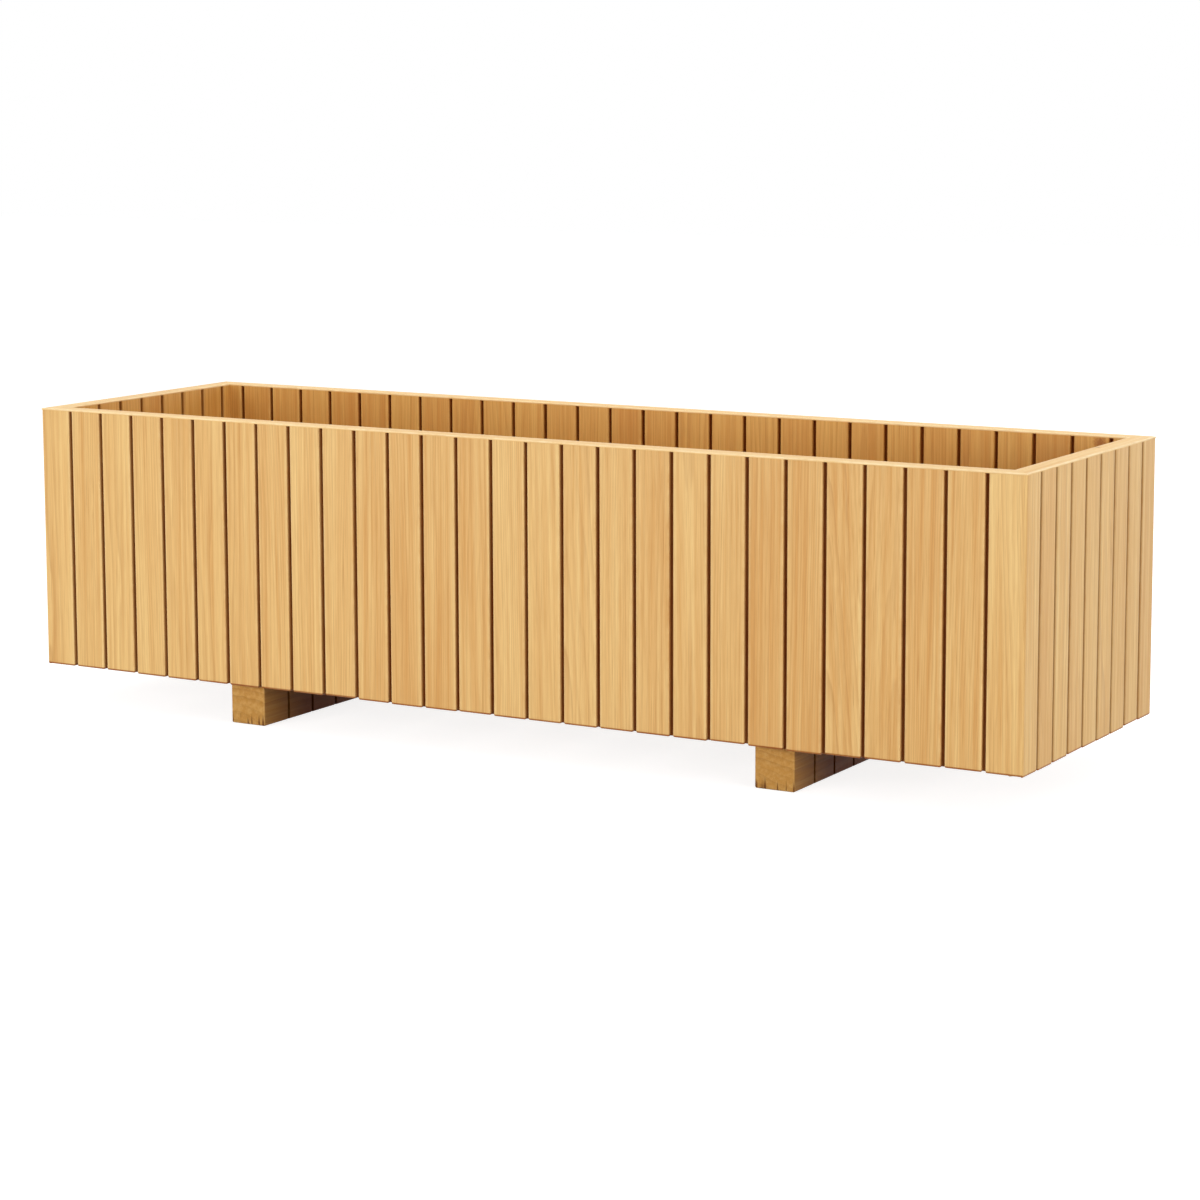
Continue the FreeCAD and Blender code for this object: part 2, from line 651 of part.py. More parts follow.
def foot(side, name):
    """A bearer from front to back under the box, with upright grooves and sunk holes for its screws."""
    body = new_body(name)
    half_long = f"({HALF_DEEP} - Sizes.foot_set_back)"
    sketch = new_sketch(body, "Section", "XY_Plane")
    rectangle(sketch, "-Sizes.foot_wide / 2", "Sizes.foot_wide / 2", f"-{half_long}", half_long)
    blank = extrude(body, "Pad", "Blank", sketch, "Sizes.foot_tall")
    ease(body, "Arris", blank, edges_where(blank, lambda p: True), "Sizes.foot_arris")
    step = f"(2 * {half_long} / (Sizes.foot_groove_count + 1))"
    front = f"({step} - {half_long} - Sizes.slat_gap / 2)"
    sketch = new_sketch(body, "GrooveOutline", "XY_Plane", None, "Sizes.foot_tall")
    for way in (-1, 1):
        rectangle(sketch, f"{way} * (Sizes.foot_wide / 2 - Sizes.foot_groove_deep)",
                  f"{way} * (Sizes.foot_wide / 2 + Sizes.overrun)", front, f"{front} + Sizes.slat_gap")
    groove = extrude(body, "Pocket", "Groove", sketch, "Sizes.foot_tall + Sizes.overrun")
    repeat(body, "Grooves", "Y_Axis", "Sizes.foot_groove_count", step, [groove])
    hole = screw_hole(body, "ScrewHole", FOOT_SCREW, "XZ_Plane", None, RAIL_LINE_DEEP,
                      "Sizes.foot_screw_sink", 1, "(Sizes.foot_screw_sink + Sizes.overrun)")
    repeat(body, "ScrewHoles", "Y_Axis", PAIR, f"2 * {RAIL_LINE_DEEP}", [hole])
    place(body, f"{side} * Sizes.foot_spacing / 2", "0", "0")


def foot_screws():
    """The screws up through the bearers into the long walls' lower rails."""
    body = new_body("foot_screws")
    first = "(-Sizes.foot_spacing / 2)"
    sketch = new_sketch(body, "Profile", "XZ_Plane", first, RAIL_LINE_DEEP)
    outline(sketch, screw_profile(FOOT_SCREW, "Sizes.foot_screw_sink", 1))
    turn(body, "Revolution", "Turned", sketch)
    cross_recess(body, FOOT_SCREW, "XY_Plane", first, f"-{RAIL_LINE_DEEP}", "Sizes.foot_screw_sink", True)
    repeat(body, "Row", "X_Axis", PAIR, "Sizes.foot_spacing")
    repeat(body, "Rows", "Y_Axis", PAIR, f"2 * {RAIL_LINE_DEEP}")
    place(body, "0", "0", "0")


def check_and_write():
    """Stops at anything that failed, then writes each sub-part to its file."""
    doc.recompute()
    for item in doc.Objects:
        if "Invalid" in item.State or "Error" in item.State:
            raise RuntimeError(f"{item.Name} failed: {item.State}")
    for body in sub_parts:
        if body.Shape.isNull() or not body.Shape.isValid() or not body.Shape.Solids:
            raise RuntimeError(f"{body.Label} has no valid solid")
    os.makedirs("parts", exist_ok=True)
    for body in sub_parts:
        body.Shape.exportStep(f"parts/{body.Label}.step")
        print(body.Label, len(body.Shape.Solids), round(body.Shape.Volume))


make_sheet()
for wall in WALLS:
    slat_row(wall)
    corner_slat(wall, -1)
    corner_slat(wall, 1)
    spline(wall)
    rim_cap(wall)
    lower_rail(wall)
    rail(wall, "middle", MIDDLE_RAIL_FOOT, "Sizes.middle_rail_tall", MIDDLE_SCREW_HIGH)
    post(wall)
    dowels(wall)
    slat_screws(wall)
for board in range(SIZES["floor_board_count"]):
    floor_board(board)
floor_screws()
foot(-1, "left_foot")
foot(1, "right_foot")
foot_screws()
check_and_write()
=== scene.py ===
import math
from collections import namedtuple

import bpy
import numpy as np
from mathutils import Matrix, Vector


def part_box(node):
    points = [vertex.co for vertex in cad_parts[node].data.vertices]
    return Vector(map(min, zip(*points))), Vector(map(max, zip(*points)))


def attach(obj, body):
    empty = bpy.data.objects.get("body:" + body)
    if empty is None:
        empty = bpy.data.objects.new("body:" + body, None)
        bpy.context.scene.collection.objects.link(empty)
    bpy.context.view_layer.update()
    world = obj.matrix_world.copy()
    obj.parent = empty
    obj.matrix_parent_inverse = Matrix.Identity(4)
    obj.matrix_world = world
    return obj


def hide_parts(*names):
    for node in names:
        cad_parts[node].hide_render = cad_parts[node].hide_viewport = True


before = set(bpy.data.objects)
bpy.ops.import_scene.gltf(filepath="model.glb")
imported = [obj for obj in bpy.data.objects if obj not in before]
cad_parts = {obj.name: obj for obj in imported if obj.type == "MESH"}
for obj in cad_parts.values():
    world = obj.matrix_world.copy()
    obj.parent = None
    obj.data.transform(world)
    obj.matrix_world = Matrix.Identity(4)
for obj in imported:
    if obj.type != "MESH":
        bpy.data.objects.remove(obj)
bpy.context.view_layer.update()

# Sizes of the box in metres, as in the part's source
MM = 0.001
HALF_LONG = 600 * MM
HALF_DEEP = 173.5 * MM
WALL_FOOT = 45 * MM
SLAT_TOP = 338 * MM
RIM_TOP = 340 * MM
SLAT_THICK = 22 * MM
SLAT_GAP = 4 * MM
SLAT_ARRIS = 1.2 * MM
TONGUE_NEAR = 7 * MM
TONGUE_FAR = 15 * MM
TONGUE_LONG = 10 * MM
JOINT_ROOM = 0.15 * MM
GROOVE_DEEP = 6 * MM + JOINT_ROOM
SPLINE_HALF_THICK = 2 * MM + JOINT_ROOM
SPLINE_HALF_WIDE = 8 * MM + JOINT_ROOM

# Roundings and small irregularities of the finished boards
CORNER_ROUND = 2.4 * MM
CORNER_ARC_SHARE = 0.93
SMALL_ROUND = 0.35 * MM
HAIR_ROUND = 0.06 * MM
CAP_ARRIS = 0.8 * MM
FOOT_EASE = 1.6 * MM
FOOT_UNEVEN = 1.7 * MM
FACE_UNEVEN = 0.35 * MM
EDGE_UNEVEN = 0.4 * MM
ARC_STEPS = 4
SLAT_STEPS = 5
RIM_STEPS = 9
SHARP_TURN = math.radians(50)

# Arrises between two roundings are painted paler, partly as rubbed wear and partly as painted
# highlight, and the gaps get painted shade
WORN_ROUND = 0.7 * MM
WORN_ROUND_MOST = 2 * WORN_ROUND
WORN_REACH = 2.5 * MM
SHOULDER_SIDE = 3 * WORN_REACH
GAP_SHADE_EDGE = 1.5 * MM
GAP_SHADE_FULL = 7 * MM

# A row's painted shade in the gaps starts this far in from the faces; below zero it reaches out onto the
# faces' edges
Row = namedtuple("Row", "count face shelter_start")
Wall = namedtuple("Wall", "name row turn base left right")
LONG_ROW = Row(count=28, face=39 * MM, shelter_start=0.4 * MM)
END_ROW = Row(count=9, face=35 * MM, shelter_start=-2.4 * MM)
WALLS = (
    Wall("front", LONG_ROW, 0, (0, -HALF_DEEP), "front_left", "front_right"),
    Wall("right_end", END_ROW, 90, (HALF_LONG, 0), "front_right", "back_right"),
    Wall("back", LONG_ROW, 180, (0, HALF_DEEP), "back_right", "back_left"),
    Wall("left_end", END_ROW, 270, (-HALF_LONG, 0), "back_left", "front_left"),
)

SEED = 20
rng = np.random.default_rng(SEED)


def linear(red, green, blue):
    """A colour given as 0 to 255 on the screen, as the linear light that shaders use."""
    screen = np.array((red, green, blue)) / 255
    light = np.where(screen <= 0.04045, screen / 12.92, ((screen + 0.055) / 1.055) ** 2.4)
    return (*light.tolist(), 1.0)


# Outlines and boards

Outline = namedtuple("Outline", "corners radii eased")


def inset(outline, by):
    """An outline's corners and radii at several depths of inset: each eased side moves inwards by the
    inset, each corner goes to where its two sides then meet, and arrises between eased sides tighten."""
    corner = np.array(outline.corners, float)
    radius = np.array(outline.radii, float)
    eased = np.array(outline.eased, float)
    side = np.roll(corner, -1, axis=0) - corner
    normal = np.stack((-side[:, 1], side[:, 0]), 1)
    normal /= np.linalg.norm(normal, axis=1, keepdims=True)
    before = np.roll(normal, 1, axis=0)
    eased_before = np.roll(eased, 1)
    turn = before[:, 0] * normal[:, 1] - before[:, 1] * normal[:, 0]
    across = eased_before * normal[:, 1] - eased * before[:, 1]
    deep = eased * before[:, 0] - eased_before * normal[:, 0]
    move = np.stack((across, deep), 1) / turn[:, None]
    tighter = eased * eased_before * (turn > 0)
    corners = corner + by[:, None, None] * move
    radii = np.maximum(radius - by[:, None] * tighter, np.minimum(radius, HAIR_ROUND))
    return corners, radii


def rounded(corners, radii):
    """Closed outlines whose corners are arcs: each arc runs from one side to the next around a centre
    on the corner's bisector, found by turning the first radius evenly into the last."""
    back = np.roll(corners, 1, axis=1) - corners
    ahead = np.roll(corners, -1, axis=1) - corners
    back /= np.linalg.norm(back, axis=2, keepdims=True)
    ahead /= np.linalg.norm(ahead, axis=2, keepdims=True)
    opening = np.arccos(np.clip((back * ahead).sum(2, keepdims=True), -1, 1))
    radius = radii[..., None]
    tangent = radius / np.tan(opening / 2)
    bisector = back + ahead
    bisector /= np.linalg.norm(bisector, axis=2, keepdims=True)
    centre = corners + bisector * radius / np.sin(opening / 2)
    first = corners + back * tangent - centre
    last = corners + ahead * tangent - centre
    turn = (math.pi - opening)[:, :, None]
    share = np.linspace(0, 1, ARC_STEPS)[None, None, :, None]
    spoke = np.sin((1 - share) * turn) * first[:, :, None] + np.sin(share * turn) * last[:, :, None]
    points = centre[:, :, None] + spoke / np.sin(turn)
    return points.reshape(len(corners), -1, 2)


def sections(outline, drawn):
    """The outline at each depth of inset, with two more points on each long side, a little way in from
    its ends, and a mask of the arrises painted paler, partly as rubbed wear and partly as painted
    highlight."""
    flat = rounded(*inset(outline, drawn))
    plain = rounded(*inset(outline, np.zeros(1)))[0]
    length = np.linalg.norm(np.roll(plain, -1, axis=0) - plain, axis=1)
    corner = np.arange(len(plain))
    long_side = length > SHOULDER_SIDE
    share = WORN_REACH / length[long_side]
    stops = np.sort(np.concatenate((corner, corner[long_side] + share, corner[long_side] + 1 - share)))
    here = stops.astype(int)
    part = (stops - here)[:, None]
    points = flat[:, here] * (1 - part) + flat[:, (here + 1) % len(plain)] * part
    radii = np.array(outline.radii)
    rubbed = np.repeat((radii >= WORN_ROUND) & (radii < WORN_ROUND_MOST), ARC_STEPS)
    return points, rubbed[here] * (part[:, 0] == 0)


def stations(start, end, start_ease, end_ease, middle_count):
    """Places along a board: a quarter circle at either end, a shoulder, and even steps between; how far
    the outline is drawn in at each; and a mask of the well-rounded ends, which gives painted shade at a
    slat's foot."""
    angle = np.linspace(0, math.pi / 2, ARC_STEPS)
    rise, draw = 1 - np.cos(angle), 1 - np.sin(angle)
    middle = np.linspace(start + WORN_REACH, end - WORN_REACH, middle_count)
    along = np.concatenate((start + start_ease * rise, middle, end - end_ease * rise[::-1]))
    drawn = np.concatenate((start_ease * draw, 0 * middle, end_ease * draw[::-1]))
    worn = np.concatenate((
        np.full(ARC_STEPS, float(start_ease >= WORN_ROUND)),
        0 * middle,
        np.full(ARC_STEPS, float(end_ease >= WORN_ROUND)),
    ))
    return along, drawn, worn


def grid_faces(round_count, along_count):
    """Four-cornered faces between neighbouring outlines, and one many-cornered face at either end."""
    here = np.arange(round_count)
    ahead = np.roll(here, -1)
    row = np.arange(along_count - 1)[:, None] * round_count
    quads = np.stack((row + here, row + ahead, row + ahead + round_count, row + here + round_count), 2)
    last = (along_count - 1) * round_count
    return quads.reshape(-1, 4).tolist() + [here[::-1].tolist(), (here + last).tolist()]


# Where boards lay in their trees: turn, metres from the pith, slant of the grain, place along the
# trunk, and how warm the wood is
Log = namedtuple("Log", "angle pith taper start tint")
PITH_AWAY = (0.09, 0.26)
GRAIN_SLANT = 0.012
TRUNK_LONG = 9
SLAT_TINTS = (0.24, 0.5)


def any_log():
    """A random place for a board in its tree: mostly far from the pith, with nearly straight grain."""
    around = rng.uniform(0, 2 * math.pi)
    away = rng.uniform(*PITH_AWAY)
    pith = (away * math.cos(around), away * math.sin(around))
    taper = rng.uniform(-GRAIN_SLANT, GRAIN_SLANT, 2)
    angle = rng.uniform(0, 2 * math.pi)
    start = rng.uniform(0, TRUNK_LONG)
    return Log(angle, pith, taper, start, rng.uniform(*SLAT_TINTS))


def place_in_log(across, deep, along, log):
    """Where each point of a board was in its tree: turned about the grain, moved off the pith, and
    drifting sideways along the grain by the taper."""
    cos, sin = math.cos(log.angle), math.sin(log.angle)
    east = cos * across - sin * deep + log.pith[0] + log.taper[0] * along
    north = sin * across + cos * deep + log.pith[1] + log.taper[1] * along
    return np.stack((east, north, along + log.start), -1)


def in_wall(across, deep, high, wall):
    """Points given across, into and up a wall, turned about the vertical to where the wall stands."""
    turn = math.radians(wall.turn)
    cos, sin = round(math.cos(turn)), round(math.sin(turn))
    east = cos * across - sin * deep + wall.base[0]
    north = sin * across + cos * deep + wall.base[1]
    return np.stack((east, north, high), -1)


Board = namedtuple("Board", "points faces place worn shelter inside tint")


def gap_shade_amount(across, deep, row, gap_left, gap_right):
    """How much painted shade a point of a slat gets in a gap: rising along the slat's edges with the
    distance in from its faces, counted from where the row's painted gap shade starts."""
    from_face = np.minimum(deep, SLAT_THICK - deep)
    in_gap = (gap_left & (across < GAP_SHADE_EDGE)) | (gap_right & (across > row.face - GAP_SHADE_EDGE))
    in_gap |= from_face > GAP_SHADE_FULL
    return in_gap * np.clip((from_face - row.shelter_start) / (GAP_SHADE_FULL - row.shelter_start), 0, 1)


def upright_board(outline, wall, left, log, uneven, gap_left=True, gap_right=True):
    """A slat: its outline, in the wall's own directions, carried straight up from the foot to the rim,
    drawn in on a quarter circle at its foot. A corner slat has a gap on one side only."""
    along, drawn, foot_arc = stations(WALL_FOOT + uneven, SLAT_TOP, FOOT_EASE, HAIR_ROUND, SLAT_STEPS)
    flat, worn = sections(outline, drawn)
    across, deep = flat[..., 0] + left, flat[..., 1]
    high = np.broadcast_to(along[:, None], across.shape)
    place = place_in_log(flat[..., 0] - wall.row.face / 2, deep - SLAT_THICK / 2, high, log)
    # The rounded foot gets no paler edges, and painted shade as a dark line along the slat's bottom
    rubbed = worn[None] * (foot_arc[:, None] < 1)
    shelter = np.maximum(gap_shade_amount(flat[..., 0], deep, wall.row, gap_left, gap_right), foot_arc[:, None])
    points = in_wall(across, deep, high, wall)
    faces = grid_faces(len(worn), len(along))
    inside = deep > SLAT_THICK / 2
    return Board(points.reshape(-1, 3), faces, place.reshape(-1, 3), rubbed.ravel(), shelter.ravel(),
                 inside.ravel(), log.tint)


def wall_half(row):
    """Half of a wall's length: its slats and the gaps between them."""
    return (row.count * (row.face + SLAT_GAP) - SLAT_GAP) / 2


def slat_left(row, number):
    """Where a slat's left edge is along its wall."""
    return number * (row.face + SLAT_GAP) - wall_half(row)


def rim_board(wall, log):
    """A rim strip: its outline, seen from the wall's left end, carried along the wall, with each end
    cut to the mitre, where the length is shorter the further in a point lies. Places along it are
    shares of half that length."""
    corners = ((0, RIM_TOP), (0, SLAT_TOP), (SLAT_THICK, SLAT_TOP), (SLAT_THICK, RIM_TOP))
    radii = (CAP_ARRIS, SMALL_ROUND, SMALL_ROUND, CAP_ARRIS)
    along, drawn, _ = stations(-1, 1, HAIR_ROUND, HAIR_ROUND, RIM_STEPS)
    flat, worn = sections(Outline(corners, radii, (1, 1, 1, 1)), drawn)
    deep, high = flat[..., 0], flat[..., 1]
    across = along[:, None] * (wall_half(wall.row) - np.maximum(deep, 0))
    place = place_in_log(deep - SLAT_THICK / 2, high - RIM_TOP, across, log)
    rubbed = worn[None] + 0 * across
    points = in_wall(across, deep, high, wall)
    faces = grid_faces(len(worn), len(along))
    return Board(points.reshape(-1, 3), faces, place.reshape(-1, 3), rubbed.ravel(), 0 * across.ravel(),
                 0 * across.ravel(), log.tint)


def piece(name, boards, nodes, material):
    """One object of one or more boards, with each point's place in the log, paler edges (partly wear,
    partly painted highlight), painted shade, inner side and tint kept on it.
    """
    starts = np.cumsum([0] + [len(board.points) for board in boards])
    mesh = bpy.data.meshes.new(name)
    faces = [[i + start for i in face] for board, start in zip(boards, starts) for face in board.faces]
    mesh.from_pydata(np.vstack([board.points for board in boards]).tolist(), [], faces)
    place = np.vstack([board.place for board in boards]).astype(np.float32)
    mesh.attributes.new("log_place", "FLOAT_VECTOR", "POINT").data.foreach_set("vector", place.ravel())
    masks = {
        "worn": [board.worn for board in boards],
        "shelter": [board.shelter for board in boards],
        "inside": [board.inside for board in boards],
        "board_tint": [np.full(len(board.points), board.tint) for board in boards],
    }
    for label, parts in masks.items():
        values = np.concatenate(parts).astype(np.float32)
        mesh.attributes.new(label, "FLOAT", "POINT").data.foreach_set("value", values)
    mesh.polygons.foreach_set("use_smooth", np.ones(len(mesh.polygons), bool))
    mesh.set_sharp_from_angle(angle=SHARP_TURN)
    mesh.materials.append(material)
    thing = bpy.data.objects.new(name, mesh)
    bpy.context.scene.collection.objects.link(thing)
    shade = thing.modifiers.new("FlatFaces", "WEIGHTED_NORMAL")
    shade.keep_sharp = True
    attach(thing, "root")
    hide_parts(*nodes)


# Which sides of a slat are eased at its foot, from the front arris round: not the joints' sides
EASED_SLAT = (1, 1, 0, 0, 0, 1, 1, 1, 0, 0, 0, 1)
EASED_RIGHT_CORNER = (1, 1, 0, 0, 0, 0, 0, 1, 1, 0, 0, 0, 1)
EASED_LEFT_CORNER = (1, 0, 0, 0, 1, 1, 0, 0, 0, 0, 0, 1, 1)


def slat_outline(face, left_in, right_in, face_in):
    """A slat's outline, anticlockwise from its front left arris: tongue right, groove left."""
    right = face - right_in
    corners = (
        (left_in, face_in), (right, face_in),
        (right, TONGUE_NEAR), (face + TONGUE_LONG, TONGUE_NEAR),
        (face + TONGUE_LONG, TONGUE_FAR), (right, TONGUE_FAR),
        (right, SLAT_THICK), (left_in, SLAT_THICK),
        (left_in, TONGUE_FAR + JOINT_ROOM), (GROOVE_DEEP, TONGUE_FAR + JOINT_ROOM),
        (GROOVE_DEEP, TONGUE_NEAR - JOINT_ROOM), (left_in, TONGUE_NEAR - JOINT_ROOM),
    )
    radii = (SLAT_ARRIS,) * 2 + (SMALL_ROUND,) * 4 + (SLAT_ARRIS,) * 2 + (SMALL_ROUND,) * 4
    return Outline(corners, radii, EASED_SLAT)


def mitre_side():
    """The points of a mitred side from the outer corner to the inner one, as distances from the outer
    corner along the wall and into it: half of the rounded corner, then the spline's slot."""
    near = CORNER_ROUND * (1 - math.sqrt(0.5))
    middle = SLAT_THICK / 2
    wing = SPLINE_HALF_THICK / math.sqrt(2)
    reach = SPLINE_HALF_WIDE / math.sqrt(2)
    corners = (
        (2 * near, 0), (near, near),
        (middle - wing, middle - wing), (middle - wing + reach, middle - wing - reach),
        (middle + wing + reach, middle + wing - reach), (middle + wing, middle + wing),
        (SLAT_THICK, SLAT_THICK),
    )
    radii = (CORNER_ARC_SHARE * CORNER_ROUND, HAIR_ROUND) + (SMALL_ROUND,) * 5
    return corners, radii


def corner_outline(face, side, edge_in):
    """A corner slat's outline: mitred on one side (1 right, -1 left), jointed to its neighbour on
    the other."""
    mitre, mitre_radii = mitre_side()
    if side > 0:
        corners = [(edge_in, 0)] + [(face - a, d) for a, d in mitre] + [
            (edge_in, SLAT_THICK),
            (edge_in, TONGUE_FAR + JOINT_ROOM), (GROOVE_DEEP, TONGUE_FAR + JOINT_ROOM),
            (GROOVE_DEEP, TONGUE_NEAR - JOINT_ROOM), (edge_in, TONGUE_NEAR - JOINT_ROOM),
        ]
        radii = (SLAT_ARRIS,) + mitre_radii + (SLAT_ARRIS,) + (SMALL_ROUND,) * 4
        return Outline(corners, radii, EASED_RIGHT_CORNER)
    right = face - edge_in
    corners = [
        (right, 0), (right, TONGUE_NEAR), (face + TONGUE_LONG, TONGUE_NEAR),
        (face + TONGUE_LONG, TONGUE_FAR), (right, TONGUE_FAR), (right, SLAT_THICK),
    ] + list(mitre[::-1])
    radii = (SLAT_ARRIS,) + (SMALL_ROUND,) * 4 + (SLAT_ARRIS,) + mitre_radii[::-1]
    return Outline(corners, radii, EASED_LEFT_CORNER)


# Shader building

# Noises: waves to the metre on each axis, the last along the grain of wood
Waves = namedtuple("Waves", "stretch detail roughness", defaults=(2.0, 0.5))
DRIFT = Waves((16, 16, 1.5))
RIPPLE = Waves((95, 95, 7))
PATCH = Waves((13, 13, 2.2))
STREAK = Waves((190, 190, 2.6), 3.0, 0.6)
FIBRE = Waves((1150, 1150, 26), 2.0, 0.6)
PORE = Waves((820, 820, 11), 1.0)
PALE_EDGE_NOISE = Waves((60, 60, 60), 3.0, 0.6)
# Noise that breaks up the painted shade in the gaps
GAP_SHADE_NOISE = Waves((40, 40, 9), 3.0, 0.6)
RAGGED = Waves((520, 520, 520), 3.0, 0.7)
SPLIT = Waves((260, 260, 20), 1.0)
MOTTLE = Waves((260, 260, 260), 3.0)
DRAWN = Waves((900, 900, 2600))
CLOUD = Waves((3, 3, 3))

# Ranges of noises, rings and distances, and what each is stretched to
Span = namedtuple("Span", "low high new_low new_high", defaults=(0.0, 1.0))
RING_END = Span(0.93, 1.0, 1.0, 0.0)
RING_VIGOUR = Span(0.0, 1.0, 0.35, 1.0)
PATCH_TINT = Span(0.25, 0.75, -0.22, 0.22)
STREAK_TINT = Span(0.3, 0.7, -0.42, 0.42)
FIBRE_SEEN = Span(0.42, 0.75)
PORE_SEEN = Span(0.64, 0.74)
GRAIN_ROUGH = Span(0.3, 0.7, 0.40, 0.60)
PALE_EDGE_STRENGTH = Span(0.3, 0.65, 0.25, 1.0)
GAP_SHADE_STRENGTH = Span(0.3, 0.7, 0.75, 1.0)
END_GRAIN = Span(0.6 * MM, 1.4 * MM, 1.0, 0.0)
# Painted shade on the bearers' sides under the box, rising from their ends inwards
UNDER_BOX_SHADE_FROM_END = Span(0.0, 80 * MM, 0.38, 1.0)
SPLIT_SEEN = Span(0.56, 0.60)
CHECK_HIGH = Span(4 * MM, 13 * MM, 0.9, 0.0)
ZINC_TONE = Span(0.35, 0.65)
FLOOR_TONE = Span(0.3, 0.7)

# How far noise bends the rings, how steeply late wood darkens, and what fibres, rings and pores add
DRIFT_BEND = 22 * MM
RIPPLE_BEND = 2.2 * MM
LATE_WOOD_POWER = 2.6
PORE_SHARE = 1.2
FIBRE_ROUGH_SHARE = 0.6
STREAK_ROUGH_SHARE = 0.4
RING_ROUGH = -0.07
RING_RISE = 0.5
PORE_RISE = -0.8
PLAIN_ROUGH = 0.55
RUBBED_ROUGH = 0.12
BUMP_DEEP = 0.25 * MM


def put(tree, socket, value):
    """Links a socket to another, or sets its value."""
    if isinstance(value, bpy.types.NodeSocket):
        tree.links.new(value, socket)
    else:
        socket.default_value = value


def add(tree, kind, sockets=(), **settings):
    """A node with its settings, and its sockets linked or set by name or number."""
    node = tree.nodes.new(kind)
    for name, value in settings.items():
        setattr(node, name, value)
    for name, value in dict(sockets).items():
        put(tree, node.inputs[name], value)
    return node


def sums(tree, operation, first, second=0.0, third=0.0, clamp=False):
    """The result of one Math node."""
    sockets = {0: first, 1: second, 2: third}
    return add(tree, "ShaderNodeMath", sockets, operation=operation, use_clamp=clamp).outputs[0]


def moved(tree, operation, first, second):
    """The vector result of one Vector Math node."""
    return add(tree, "ShaderNodeVectorMath", {0: first, 1: second}, operation=operation).outputs["Vector"]


def vector_length(tree, vector):
    """The length of a vector."""
    return add(tree, "ShaderNodeVectorMath", {0: vector}, operation="LENGTH").outputs["Value"]


def noise(tree, place, waves):
    """Noise over a place, stretched by so many waves to the metre on each axis."""
    stretched = moved(tree, "MULTIPLY", place, waves.stretch)
    sockets = {"Vector": stretched, "Scale": 1.0, "Detail": waves.detail, "Roughness": waves.roughness}
    return add(tree, "ShaderNodeTexNoise", sockets).outputs["Fac"]


def spread(tree, value, span):
    """A value's range stretched to another range, and held within it."""
    sockets = {"Value": value, "From Min": span.low, "From Max": span.high,
               "To Min": span.new_low, "To Max": span.new_high}
    return add(tree, "ShaderNodeMapRange", sockets, clamp=True).outputs["Result"]


def blend(tree, share, first, second, how="MIX"):
    """Two colours mixed by a share."""
    node = add(tree, "ShaderNodeMix", {0: share, 6: first, 7: second}, data_type="RGBA", blend_type=how)
    return node.outputs[2]


def object_point(tree):
    """The shaded point in the object's own coordinates."""
    return add(tree, "ShaderNodeTexCoord").outputs["Object"]


def attribute(tree, name, kind="GEOMETRY"):
    """A named attribute of the mesh, or a named property of the object."""
    return add(tree, "ShaderNodeAttribute", attribute_name=name, attribute_type=kind).outputs


def new_group(name, inputs, outputs):
    """An empty shader group with named sockets, and its input and output nodes."""
    tree = bpy.data.node_groups.new(name, "ShaderNodeTree")
    for label, kind in inputs:
        tree.interface.new_socket(name=label, in_out="INPUT", socket_type="NodeSocket" + kind)
    for label, kind in outputs:
        tree.interface.new_socket(name=label, in_out="OUTPUT", socket_type="NodeSocket" + kind)
    return tree, tree.nodes.new("NodeGroupInput").outputs, tree.nodes.new("NodeGroupOutput").inputs


def new_material(name):
    """An empty node material, its tree and its surface shader."""
    material = bpy.data.materials.new(name)
    material.use_nodes = True
    return material, material.node_tree, material.node_tree.nodes["Principled BSDF"]


